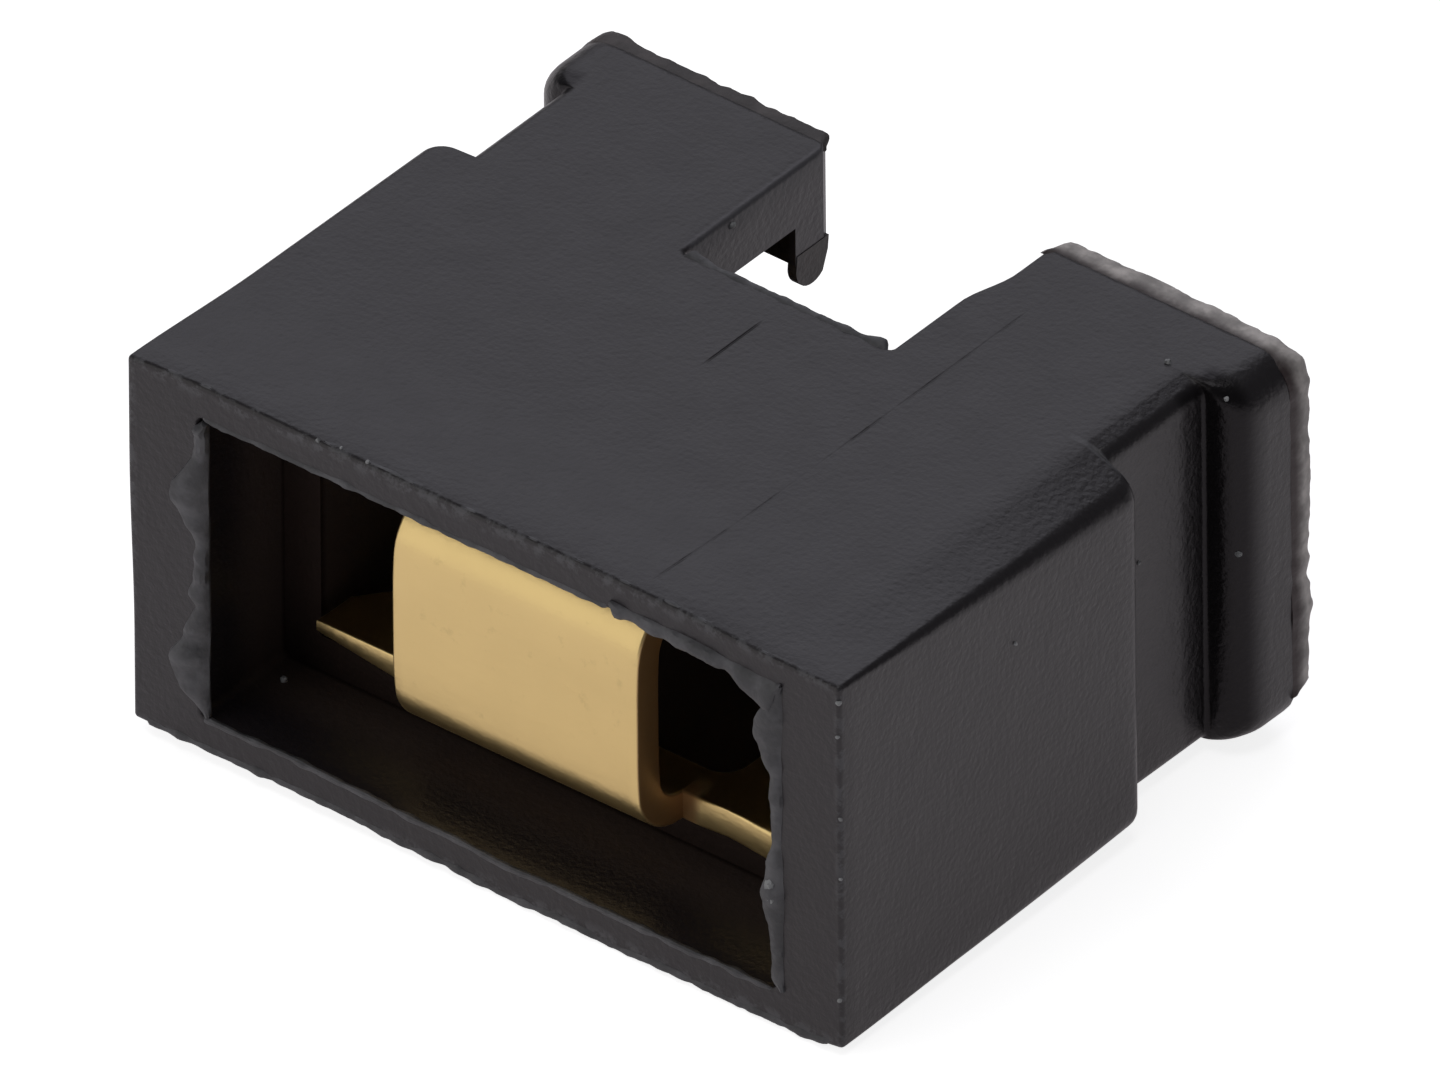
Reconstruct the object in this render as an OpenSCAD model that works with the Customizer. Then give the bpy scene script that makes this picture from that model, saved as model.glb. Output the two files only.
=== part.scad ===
// Two-position jumper shunt. A moulded housing lies on its wide side and holds
// one folded spring contact, which joins two square posts pushed in from the rear.
// X runs across the posts, Y from the open front to the two ears, Z is up.
// The origin is under the middle of the housing, on its rest face.

/* [Posts] */
// Distance between the axes of the two posts
pitch = 2.54; // [2.4:0.02:2.7]
// Side of each square post
post_side = 0.64; // [0.5:0.02:0.7]
// Height of the posts' axes above the rest face
post_z = 1.26; // [1.22:0.01:1.3]

/* [Body] */
// Width of the body
body_w = 5.08; // [4.9:0.02:5.4]
// Height of the housing
housing_h = 2.46; // [2.42:0.02:2.7]
// Length of the housing, from the open front to the tips of the ears
housing_len = 4.04; // [3.9:0.02:4.4]
// Length of the full-width body, from the open front
body_len = 2.66; // [2.5:0.02:2.9]
// Rounding of the long edges of the body and the ears
edge_r = 0.1; // [0.04:0.01:0.16]
// Rounding of the body's two upright rear edges
corner_r = 0.18; // [0.05:0.01:0.22]

/* [Front pocket] */
// Thickness of the side walls at the open front
side_wall = 0.48; // [0.3:0.02:0.6]
// Thickness of the floor and the roof at the open front
thin_wall = 0.22; // [0.15:0.01:0.3]
// Depth of the front pocket, up to the ledges that carry the contact
pocket_len = 0.76; // [0.7:0.02:0.84]

/* [Ears] */
// Width across the two ears, in front of their grips
ears_w = 4.58; // [4.4:0.02:4.7]
// Distance from the open front to the floor of the notch
notch_y = 2.72; // [2.5:0.02:2.9]
// Width of the notch at its floor
notch_w = 1.48; // [1.3:0.02:1.6]
// Width of the notch between the tips of the ears
notch_mouth_w = 1.64; // [1.5:0.02:1.7]
// Thickness of the wall between the contact's chamber and the notch
notch_wall = 0.42; // [0.3:0.02:0.6]
// Thickness of the lips at the tips of the ears
lip_len = 0.35; // [0.2:0.01:0.45]
// Height of the post windows in the lips
window_h = 1.08; // [0.8:0.02:1.2]
// Clearance beside a post on the outer side of its window
window_gap = 0.14; // [0.05:0.01:0.18]

/* [Grips] */
// Width across the two grips at the tips of the ears
grip_w = 5.12; // [4.9:0.02:5.4]
// Length of a grip's flat outer face
grip_len = 0.42; // [0.3:0.02:0.6]
// Rounding of the long edges of the grips
grip_r = 0.25; // [0.1:0.01:0.35]

/* [Contact] */
// Thickness of the contact's sheet
sheet_t = 0.2; // [0.12:0.01:0.25]
// Outside height of the folded contact
contact_h = 1.6; // [1.4:0.02:1.64]
// Distance from the open front to the face of the contact's web
web_setback = 0.25; // [0.1:0.01:0.3]
// Width of the web
web_w = 1.76; // [1.4:0.02:1.9]
// Outside radius of the two bends
bend_r = 0.35; // [0.28:0.01:0.4]
// Width across the wings of the contact's plates
wing_w = 3.48; // [3.2:0.02:3.6]
// Length of the wings along their outer edges
wing_len = 0.3; // [0.2:0.02:0.4]
// Length over which the wings narrow to the spring arms
wing_taper = 0.25; // [0.1:0.01:0.3]
// Width of each spring arm
arm_w = 0.53; // [0.4:0.01:0.6]
// Length of the plates' solid middle, behind the bends
bridge_len = 0.26; // [0.2:0.02:0.4]
// Rounding at the root of the slot between the arms
slot_r = 0.15; // [0.05:0.01:0.25]
// Opening between the arms where they pinch a post
pinch_gap = 0.5; // [0.3:0.02:0.6]

/* [Clearances] */
// Clearance beside the contact's wings
wing_gap = 0.06; // [0.02:0.01:0.1]
// Clearance on each side of a spring arm
arm_gap = 0.2; // [0.1:0.01:0.22]
// Clearance between the tips of the arms and the lips
tip_gap = 0.09; // [0.03:0.01:0.2]

/* [Hidden] */
$fn = 48;
// How far a cut runs past the face that it opens
over = 0.3;
// Steps of each spring arm's curve
arm_steps = 24;

front_y = -housing_len / 2;
post_x = pitch / 2;
chamber_z = post_z - contact_h / 2;
chamber_end = notch_y - notch_wall;
lip_y = housing_len - lip_len;
channel_in = post_x - arm_w / 2 - arm_gap;
channel_out = post_x + arm_w / 2 + arm_gap;
window_out = post_x + post_side / 2 + window_gap;
cove_r = (grip_w - ears_w) / 2;
cove_y = housing_len - grip_len - cove_r;
bend_y = web_setback + bend_r;
wing_end = bend_y + wing_len;
arm_start = wing_end + wing_taper;
arm_end = lip_y - tip_gap;
arm_rise = contact_h / 2 - sheet_t - pinch_gap / 2;

// Outlines and runs ---------------------------------------------------------

// Runs an outline drawn in X and Z along Y, from the open front backwards
module along_y(len) {
    translate([0, len, 0]) rotate([90, 0, 0]) linear_extrude(len) children();
}

// Runs an outline drawn in Y and Z along X, centred on the middle
module along_x(w) {
    translate([-w / 2, 0, 0]) rotate([90, 0, 90]) linear_extrude(w) children();
}

// Repeats its children on the left and on the right
module both_sides() {
    children();
    mirror([1, 0, 0]) children();
}

// A rectangle that stands on the X axis, with four round corners
module round_bar_outline(w, h, r) {
    translate([-w / 2, r]) square([w, h - 2 * r]);
    translate([-w / 2 + r, 0]) square([w - 2 * r, h]);
    for (x = [-w / 2 + r, w / 2 - r], z = [r, h - r]) translate([x, z]) circle(r);
}

// Housing -------------------------------------------------------------------

// The full-width body, with its two rear corners rounded in plan
module body_block() {
    intersection() {
        along_y(body_len) round_bar_outline(body_w, housing_h, edge_r);
        linear_extrude(housing_h) {
            translate([-body_w / 2, 0]) square([body_w, body_len - corner_r]);
            translate([-body_w / 2 + corner_r, 0]) square([body_w - 2 * corner_r, body_len]);
            both_sides() translate([body_w / 2 - corner_r, body_len - corner_r]) circle(corner_r);
        }
    }
}

// The narrower bar behind the body, which the notch splits into two ears
module ear_bar() {
    translate([0, body_len / 2, 0])
        along_y(housing_len - body_len / 2) round_bar_outline(ears_w, housing_h, edge_r);
}

// A rib down the outer side of each ear's tip, with a cove in front of it
module grips() {
    intersection() {
        along_y(housing_len) round_bar_outline(grip_w, housing_h, grip_r);
        linear_extrude(housing_h) both_sides() difference() {
            translate([channel_out, cove_y])
                square([grip_w / 2 - channel_out, housing_len - cove_y]);
            translate([grip_w / 2, cove_y]) circle(cove_r);
        }
    }
}

// The notch between the ears, a little wider at its mouth
module notch() {
    mouth_y = housing_len + over;
    mouth_w = notch_w + (notch_mouth_w - notch_w) * (mouth_y - notch_y) / (housing_len - notch_y);
    translate([0, 0, -over]) linear_extrude(housing_h + 2 * over)
        polygon([[-notch_w / 2, notch_y], [notch_w / 2, notch_y],
                 [mouth_w / 2, mouth_y], [-mouth_w / 2, mouth_y]]);
}

// The open pocket at the front, with its thin floor and roof
module front_pocket() {
    pocket_w = body_w - 2 * side_wall;
    translate([-pocket_w / 2, -over, thin_wall])
        cube([pocket_w, pocket_len + over, housing_h - 2 * thin_wall]);
}

// The chamber whose floor and roof carry the contact's plates
module chamber() {
    chamber_w = wing_w + 2 * wing_gap;
    translate([-chamber_w / 2, pocket_len / 2, chamber_z])
        cube([chamber_w, chamber_end - pocket_len / 2, contact_h]);
}

// The channel that a pair of arms takes through one ear, open to the notch
module ear_channel() {
    translate([channel_in, chamber_end - over, chamber_z])
        cube([channel_out - channel_in, lip_y - chamber_end + over, contact_h]);
    translate([0, notch_y, chamber_z])
        cube([channel_in + arm_gap, lip_y - notch_y, contact_h]);
}

// The window in an ear's lip through which a post goes in, open to the notch
module post_window() {
    translate([0, lip_y - over, post_z - window_h / 2])
        cube([window_out, lip_len + 2 * over, window_h]);
}

module housing() {
    color([0.16, 0.155, 0.17]) translate([0, front_y, 0]) difference() {
        union() {
            body_block();
            ear_bar();
            grips();
        }
        notch();
        front_pocket();
        chamber();
        both_sides() ear_channel();
        both_sides() post_window();
    }
}

// Contact -------------------------------------------------------------------

// A quarter of a ring of sheet, below and in front of its centre
module bend_outline() {
    intersection() {
        difference() {
            circle(bend_r);
            circle(bend_r - sheet_t);
        }
        translate([-bend_r, -bend_r]) square(bend_r);
    }
}

// The web seen from the side, with a bend at its foot and one at its head
module fold_outline() {
    translate([web_setback, chamber_z + bend_r]) square([sheet_t, contact_h - 2 * bend_r]);
    translate([bend_y, chamber_z + bend_r]) bend_outline();
    translate([bend_y, chamber_z + contact_h - bend_r]) mirror([0, 1]) bend_outline();
}

// A point of a lower arm's curve, at part s of its length and a distance off its
// middle surface: the arm rises to the pinch and comes down again to its tip
function arm_point(s, off) =
    let (len = arm_end - arm_start,
         slope = arm_rise * PI / len * sin(360 * s),
         steep = sqrt(1 + slope * slope))
    [arm_start + s * len - off * slope / steep,
     chamber_z + sheet_t / 2 + arm_rise * (1 - cos(360 * s)) / 2 + off / steep];

// A lower plate and its arms seen from the side
module plate_outline() {
    translate([bend_y, chamber_z]) square([arm_start - bend_y, sheet_t]);
    polygon(concat(
        [for (i = [0 : arm_steps]) arm_point(i / arm_steps, -sheet_t / 2)],
        [for (i = [arm_steps : -1 : 0]) arm_point(i / arm_steps, sheet_t / 2)]));
}

// A plate seen from above: two wings that narrow to two arms
module plate_plan() {
    arm_in = post_x - arm_w / 2;
    arm_out = post_x + arm_w / 2;
    slot_y = bend_y + bridge_len;
    both_sides() difference() {
        polygon([[0, bend_y], [wing_w / 2, bend_y], [wing_w / 2, wing_end],
                 [arm_out, arm_start], [arm_out, arm_end], [0, arm_end]]);
        translate([-over, slot_y + slot_r]) square([arm_in + over, arm_end]);
        translate([-over, slot_y]) square([arm_in - slot_r + over, arm_end]);
        translate([arm_in - slot_r, slot_y + slot_r]) circle(slot_r);
    }
}

// The lower plate, cut to its plan
module lower_plate() {
    intersection() {
        along_x(wing_w) plate_outline();
        linear_extrude(housing_h) plate_plan();
    }
}

module contact() {
    color([0.8, 0.68, 0.45]) translate([0, front_y, 0]) {
        along_x(web_w) fold_outline();
        lower_plate();
        translate([0, 0, 2 * post_z]) mirror([0, 0, 1]) lower_plate();
    }
}

housing();
contact();
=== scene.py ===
"""Two-position jumper shunt: a black moulded housing round one folded brass contact.

Meshes are worked out in millimetres, with the depth measured back from the open
front, and are brought into the frame, in metres, when they are finished.
"""
import math
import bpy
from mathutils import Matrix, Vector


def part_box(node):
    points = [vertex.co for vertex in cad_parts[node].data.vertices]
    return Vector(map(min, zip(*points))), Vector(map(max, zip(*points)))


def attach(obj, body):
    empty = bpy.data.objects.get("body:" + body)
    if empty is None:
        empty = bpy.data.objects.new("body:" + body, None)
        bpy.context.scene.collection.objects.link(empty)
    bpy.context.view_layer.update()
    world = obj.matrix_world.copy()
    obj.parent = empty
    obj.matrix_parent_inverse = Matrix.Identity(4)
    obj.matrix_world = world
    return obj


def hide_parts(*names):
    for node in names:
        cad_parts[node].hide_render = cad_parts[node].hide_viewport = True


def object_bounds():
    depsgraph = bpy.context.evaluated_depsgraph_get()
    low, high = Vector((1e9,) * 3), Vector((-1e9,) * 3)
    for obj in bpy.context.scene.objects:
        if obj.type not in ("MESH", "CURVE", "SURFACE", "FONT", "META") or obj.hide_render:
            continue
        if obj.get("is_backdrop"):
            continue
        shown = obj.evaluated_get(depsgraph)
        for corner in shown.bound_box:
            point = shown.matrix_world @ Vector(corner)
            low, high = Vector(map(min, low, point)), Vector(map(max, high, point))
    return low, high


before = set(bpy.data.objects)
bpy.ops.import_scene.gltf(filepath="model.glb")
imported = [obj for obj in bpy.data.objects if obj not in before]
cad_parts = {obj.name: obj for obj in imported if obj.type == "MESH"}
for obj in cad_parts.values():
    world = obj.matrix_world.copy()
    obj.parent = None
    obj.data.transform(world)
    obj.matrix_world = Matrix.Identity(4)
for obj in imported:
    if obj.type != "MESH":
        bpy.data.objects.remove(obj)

from types import SimpleNamespace

import bmesh
import bpy
from bpy.props import FloatProperty, FloatVectorProperty, PointerProperty
from mathutils import Matrix, Vector, noise

bl_info = {
    "name": "Jumper Shunt",
    "version": (1, 0, 0),
    "blender": (4, 5, 0),
    "location": "View3D > Sidebar > Shunt",
    "description": "Builds a two-position jumper shunt with its mould flash and a soft studio",
    "category": "Add Mesh",
}

MM = 0.001
CAD_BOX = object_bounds()
HOUSING_LOW, HOUSING_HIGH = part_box("housing")
CONTACT_LOW, CONTACT_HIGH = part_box("contact")
# Depth is measured back from this plane, which is the open front
FRONT_Y = HOUSING_LOW.y
HOUSING_W = (HOUSING_HIGH.x - HOUSING_LOW.x) / MM
HOUSING_H = (HOUSING_HIGH.z - HOUSING_LOW.z) / MM
HOUSING_LEN = (HOUSING_HIGH.y - HOUSING_LOW.y) / MM
CONTACT_Z = (CONTACT_HIGH.z + CONTACT_LOW.z) / 2 / MM
CONTACT_H = (CONTACT_HIGH.z - CONTACT_LOW.z) / MM
# How far a cut runs past the face that it opens
PAST = 0.3
# Smallest rounding that an edge keeps
LEAST_R = 0.004
# How far flash may stand out behind the ears
FLASH_LIMIT = 0.115
# Faces that meet at more than this angle are shaded with a sharp edge
SHARP_ANGLE = math.radians(35)


# Settings ------------------------------------------------------------------

def length(name, description, millimetres):
    """A length that the user can change, stored in metres."""
    return FloatProperty(name=name, description=description, default=millimetres * MM,
                         unit="LENGTH", precision=5)


def angle(name, description, degrees):
    """An angle that the user can change."""
    return FloatProperty(name=name, description=description, default=math.radians(degrees),
                         subtype="ANGLE")


def colour(name, description, value):
    """A linear colour that the user can change."""
    return FloatVectorProperty(name=name, description=description, default=value,
                               subtype="COLOR", min=0.0, max=1.0)


def in_millimetres(settings):
    """The lengths of a settings group in millimetres, under the same names."""
    names = settings.__annotations__
    return SimpleNamespace(**{name: getattr(settings, name) / MM for name in names})


class HousingSizes(bpy.types.PropertyGroup):
    body_w: length("Body width", "Width of the full body", 5.08)
    body_len: length("Body length", "Depth of the full-width body", 2.68)
    corner_r: length("Rear corner", "Rounding of the body's upright rear edges", 0.1)
    ears_w: length("Ears width", "Width across the ears in front of their grips", 4.58)
    rim_r: length("Rim rounding", "Rounding of the edges round the front face", 0.03)
    tail_r: length("Tail rounding", "Rounding of the edges round the ears' rear faces", 0.08)
    shelf_x: length("Shelf", "Where the top starts to fall towards the right side", 2.13)
    shelf_drop: length("Shelf drop", "How far the top has fallen at the body's rear corner", 0.12)
    top_r: length("Top rounding", "Rounding of the long top edges at the body's rear", 0.15)
    side_wall: length("Side wall", "Side wall at the open front", 0.48)
    thin_wall: length("Thin wall", "Floor and roof at the open front", 0.22)
    pocket_len: length("Pocket depth", "Depth of the front pocket", 0.76)
    roof_bow: length("Roof bow", "How far the roof bulges up at the front", 0.035)
    floor_bow: length("Floor bow", "How far the floor bulges down at the front", 0.05)
    notch_y: length("Notch floor", "Depth of the notch's floor", 2.7)
    notch_left: length("Notch left", "Left side of the notch from the middle", 0.76)
    notch_right: length("Notch right", "Right side of the notch at its floor", 0.73)
    notch_step: length("Notch step", "How far the right side steps back near the tip", 0.08)
    notch_wall: length("Notch wall", "Wall between the chamber and the notch", 0.42)
    lip_len: length("Lip", "Thickness of the lips at the ears' tips", 0.35)
    window_h: length("Window height", "Height of the post windows", 1.08)
    window_out: length("Window reach", "Outer side of a post window from the middle", 1.73)
    channel_in: length("Channel inner side", "Inner side of an ear's channel", 0.805)
    channel_out: length("Channel outer side", "Outer side of an ear's channel", 1.735)
    grip_y: length("Grip front", "Depth of the front of a grip", 3.505)
    cove_r: length("Cove", "Radius of the hollow before a grip", 0.03)
    brow_r: length("Brow", "Radius of a grip's front edge", 0.24)
    grip_r: length("Grip rounding", "Rounding of the long edges of the grips", 0.25)


class ContactSizes(bpy.types.PropertyGroup):
    sheet_t: length("Sheet", "Thickness of the brass sheet", 0.2)
    web_flat: length("Web flat", "Half height of the flat middle of the web", 0.2)
    web_ease: length("Web ease", "Length of the slack curve between the flat and a bend", 0.24)
    ease_r: length("Ease radius", "Radius of that slack curve", 2.8)
    web_w: length("Web width", "Width of the web", 1.76)
    wing_len: length("Wing length", "Length of the wings along their outer edges", 0.3)
    wing_taper: length("Wing taper", "Length over which the wings narrow", 0.25)
    arm_w: length("Arm width", "Width of each spring arm", 0.53)
    arm_x: length("Arm distance", "Distance of an arm's middle from the shunt's middle", 1.27)
    bridge_len: length("Bridge", "Solid middle of each plate behind its bend", 0.26)
    slot_r: length("Slot rounding", "Rounding at the root of the slot between the arms", 0.15)
    pinch_gap: length("Pinch", "Opening between the arms where they pinch a post", 0.5)
    edge_r: length("Edge", "Rounding of the stamped edges", 0.02)


class FinishColours(bpy.types.PropertyGroup):
    plastic: colour("Plastic", "Black moulded plastic", (0.0135, 0.011, 0.013))
    # Painted brown reflection of the brass in the shaded pocket
    pocket: colour("Pocket", "Painted brown reflection of the brass, deep in the shaded front pocket", (0.056, 0.038, 0.031))
    ear_wall: colour("Ear wall", "Left ear's wall beside the notch", (0.050, 0.045, 0.053))
    # Painted highlight on the housing's edges, also the colour of the flash round the open front
    edge_highlight_and_flash: colour("Edge highlight and flash", "Painted highlight on the housing's edges, and the flash round the open front", (0.13, 0.13, 0.14))
    dull: colour("Dull flash", "Flash on the left ear", (0.085, 0.072, 0.07))
    flash: colour("Pale flash", "Flash on the right ear", (0.74, 0.69, 0.66))
    root: colour("Flash root", "Root of the pale flash", (0.05, 0.035, 0.035))
    fleck: colour("Flecks", "Specks of dust and torn bits", (0.45, 0.46, 0.47))
    brass: colour("Brass", "Pale brass sheet", (0.84, 0.635, 0.285))
    # Painted shade on the web's cut sides
    shaded_cut_brass: colour("Shaded cut brass", "Painted shade on the web's cut sides", (0.42, 0.21, 0.08))
    paper: colour("Floor", "Pale floor", (0.9, 0.9, 0.9))
    paper_glow: colour("Floor glow", "What the camera sees added to the floor", (0.82, 0.82, 0.82))
    paper_mirrored: colour("Mirrored floor", "What reflections see added to the floor",
                           (0.42, 0.385, 0.40))
    room: colour("Room", "Dim light from all round", (0.95, 0.95, 1.0))


class StudioSettings(bpy.types.PropertyGroup):
    azimuth: angle("Azimuth", "Camera's direction round the part", 39.23)
    elevation: angle("Elevation", "Camera's height above the horizon", 35.78)
    roll: angle("Roll", "Camera's turn about its own axis", -0.51)
    distance: length("Distance", "Distance of the camera from its target", 100.0)
    width: length("Picture width", "Width that the parallel view takes in", 8.0174)
    target_x: length("Target X", "Target's place across the part", 0.058)
    target_depth: length("Target depth", "Target's depth behind the open front", 2.0)
    target_z: length("Target Z", "Target's height", 1.2447)


# Mesh tools ----------------------------------------------------------------

def spread(start, end, steps):
    """Evenly spaced numbers from start to end, both included."""
    return [start + (end - start) * i / steps for i in range(steps + 1)]


def smooth(t):
    """A smooth step from 0 to 1."""
    t = min(1.0, max(0.0, t))
    return t * t * (3 - 2 * t)


def hump(x, centre, half_width):
    """A round hump of height 1 at centre, which is 0 past half_width."""
    return smooth(1 - abs(x - centre) / half_width)


def loft(rings):
    """A closed mesh through rings with equal numbers of points, capped at both ends."""
    made = bmesh.new()
    grid = [[made.verts.new(point) for point in ring] for ring in rings]
    count = len(grid[0])
    for near, far in zip(grid, grid[1:]):
        for i in range(count):
            j = (i + 1) % count
            made.faces.new((near[i], near[j], far[j], far[i]))
    made.faces.new(grid[0])
    made.faces.new(grid[-1])
    bmesh.ops.recalc_face_normals(made, faces=made.faces)
    return made


def as_object(name, made):
    """A new object that holds a bmesh, which is used up."""
    mesh = bpy.data.meshes.new(name)
    made.to_mesh(mesh)
    made.free()
    piece = bpy.data.objects.new(name, mesh)
    bpy.context.scene.collection.objects.link(piece)
    return piece


def settle(piece):
    """Applies a piece's modifiers to its mesh."""
    graph = bpy.context.evaluated_depsgraph_get()
    mesh = bpy.data.meshes.new_from_object(piece.evaluated_get(graph))
    old = piece.data
    piece.modifiers.clear()
    piece.data = mesh
    bpy.data.meshes.remove(old)


def carve(piece, made):
    """Cuts a bmesh out of a piece."""
    cutter = as_object("cutter", made)
    cut = piece.modifiers.new("cut", "BOOLEAN")
    cut.operation = "DIFFERENCE"
    cut.solver = "EXACT"
    cut.object = cutter
    settle(piece)
    mesh = cutter.data
    bpy.data.objects.remove(cutter)
    bpy.data.meshes.remove(mesh)
    if not piece.data.polygons:
        raise RuntimeError(f"nothing is left of {piece.name} after a cut")


def bend_points(piece, moved):
    """Moves every vertex of a piece to moved(x, depth, z)."""
    for vertex in piece.data.vertices:
        vertex.co = moved(*vertex.co)


def finish_piece(piece, material):
    """Shades a piece made in millimetres and brings it into the frame."""
    piece.data.transform(Matrix.Translation((0, FRONT_Y, 0)) @ Matrix.Scale(MM, 4))
    piece.data.shade_smooth()
    piece.data.set_sharp_from_angle(angle=SHARP_ANGLE)
    level = piece.modifiers.new("level", "WEIGHTED_NORMAL")
    level.keep_sharp = True
    settle(piece)
    piece.data.materials.clear()
    piece.data.materials.append(material)
    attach(piece, "root")


# Housing -------------------------------------------------------------------

def half_outline(half_w, top_r, foot_r, drop, inset, level_x):
    """Right half of a section across the housing, from the top's middle to the foot's.

    The top is level as far as level_x, falls by drop at the side, and rounds over."""
    w, high, low = half_w - inset, HOUSING_H - inset, inset
    top_r, foot_r = max(top_r - inset, LEAST_R), max(foot_r - inset, LEAST_R)
    level_x = min(level_x, w - top_r)
    slope = math.atan2(drop, half_w - level_x)
    start_x = w - top_r + top_r * math.sin(slope)
    centre_z = high - math.tan(slope) * (start_x - level_x) - top_r * math.cos(slope)
    points = [(x, high) for x in spread(0, level_x, 22)]
    points += [(x, high - math.tan(slope) * (x - level_x))
               for x in spread(level_x, start_x, 5)[1:-1]]
    for turn in spread(slope, math.pi / 2, 9):
        points.append((w - top_r + top_r * math.sin(turn), centre_z + top_r * math.cos(turn)))
    points += [(w, z) for z in spread(centre_z, low + foot_r, 16)[1:-1]]
    for turn in spread(0, math.pi / 2, 6):
        points.append((w - foot_r + foot_r * math.cos(turn),
                       low + foot_r - foot_r * math.sin(turn)))
    points += [(x, low) for x in spread(w - foot_r, 0, 20)[1:]]
    return points


def skin(sizes):
    """The outside of the housing, before the notch and the hollows are cut."""
    body, ear, grip = sizes.body_w / 2, sizes.ears_w / 2, HOUSING_W / 2
    fall = sizes.shelf_drop / (body - sizes.shelf_x)
    rings = []

    def ring(depth, half_w, top_r, left_r, foot_r, drop, inset=0.0):
        right = half_outline(half_w, top_r, foot_r, drop, inset, sizes.shelf_x)
        left = half_outline(half_w, left_r, foot_r, 0.0, inset, sizes.shelf_x)
        points = right + [(-x, z) for x, z in reversed(left[1:-1])]
        rings.append([(x, depth, z) for x, z in points])

    # The body's long edges start at front_r and get rounder towards the rear
    front_r, left_growth, foot_growth = 0.03, 0.05, 0.12

    def body_ring(depth, half_w, inset=0.0):
        share = depth / sizes.body_len
        ring(depth, half_w, front_r + (sizes.top_r - front_r) * share,
             front_r + left_growth * share, front_r + foot_growth * share ** 2,
             sizes.shelf_drop * share, inset)

    for turn in spread(0, math.pi / 2, 4):
        body_ring(sizes.rim_r * (1 - math.cos(turn)), body, sizes.rim_r * (1 - math.sin(turn)))
    corner_y = sizes.body_len - sizes.corner_r
    for depth in spread(sizes.rim_r, corner_y, 22)[1:]:
        body_ring(depth, body)
    for turn in spread(0, math.pi / 2, 8)[1:]:
        body_ring(corner_y + sizes.corner_r * math.sin(turn),
                  body - sizes.corner_r * (1 - math.cos(turn)))
    step = 0.01
    ear_r, ear_foot_r, grip_foot_r = 0.1, 0.08, 0.2
    ear_drop = fall * (ear - sizes.shelf_x)
    for depth in spread(sizes.body_len + step, sizes.grip_y, 7):
        ring(depth, ear, ear_r, ear_r, ear_foot_r, ear_drop)

    def grip_ring(depth, half_w, inset=0.0):
        share = (half_w - ear) / (grip - ear)
        top_r = ear_r + (sizes.grip_r - ear_r) * share
        foot_r = ear_foot_r + (grip_foot_r - ear_foot_r) * share
        ring(depth, half_w, top_r, top_r, foot_r, ear_drop * (1 - share), inset)

    for turn in spread(0, math.pi / 2, 5)[1:]:
        grip_ring(sizes.grip_y + sizes.cove_r * math.sin(turn),
                  ear + sizes.cove_r * (1 - math.cos(turn)))
    face_y = sizes.grip_y + sizes.cove_r + sizes.brow_r
    for turn in spread(math.pi / 2, 0, 12)[1:]:
        grip_ring(face_y - sizes.brow_r * math.sin(turn),
                  grip - sizes.brow_r * (1 - math.cos(turn)))
    for depth in spread(face_y, HOUSING_LEN - sizes.tail_r, 3)[1:]:
        grip_ring(depth, grip)
    for turn in spread(0, math.pi / 2, 6)[1:]:
        grip_ring(HOUSING_LEN - sizes.tail_r * (1 - math.sin(turn)), grip,
                  sizes.tail_r * (1 - math.cos(turn)))
    return loft(rings)


def rounded_levels(low, high, low_r, high_r, steps):
    """(place, flare) pairs for a cutter's run, flared round where it leaves the solid."""
    levels = [(low + low_r * (1 - math.cos(t)), low_r * (1 - math.sin(t)))
              for t in spread(0, math.pi / 2, 4)]
    levels += [(place, 0.0) for place in spread(low + low_r, high - high_r, steps)[1:-1]]
    levels += [(high - high_r * (1 - math.sin(t)), high_r * (1 - math.cos(t)))
               for t in spread(0, math.pi / 2, 4)]
    return levels


def notch_cutter(sizes):
    """The notch between the ears, flared where it meets the top and the foot."""
    corner = 0.04
    # Where the right side starts to step back, and the length over which it does
    step_y, step_run = 3.3, 0.4

    def ring(z, flare):
        floor_y = sizes.notch_y - flare

        def half(start, step):
            points = [(start + flare - corner + corner * math.sin(t),
                       floor_y + corner - corner * math.cos(t))
                      for t in spread(0, math.pi / 2, 4)]
            for y in spread(floor_y + corner, HOUSING_LEN + PAST, 24)[1:]:
                tail = sizes.tail_r * smooth((y - HOUSING_LEN + sizes.tail_r) / sizes.tail_r)
                back = step * smooth((y - step_y) / step_run)
                points.append((start + back + tail + flare, y))
            return points

        right = half(sizes.notch_right, sizes.notch_step)
        left = [(-x, y) for x, y in reversed(half(sizes.notch_left, 0.0))]
        ends = -sizes.notch_left - flare + corner, sizes.notch_right + flare - corner
        floor = [(x, floor_y) for x in spread(*ends, 12)[1:-1]]
        return [(x, y, z) for x, y in right + left + floor]

    levels = rounded_levels(0.0, HOUSING_H, sizes.rim_r, sizes.rim_r, 14)
    levels = [(-PAST, sizes.rim_r)] + levels + [(HOUSING_H + PAST, sizes.rim_r)]
    return loft([ring(z, flare) for z, flare in levels])


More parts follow.
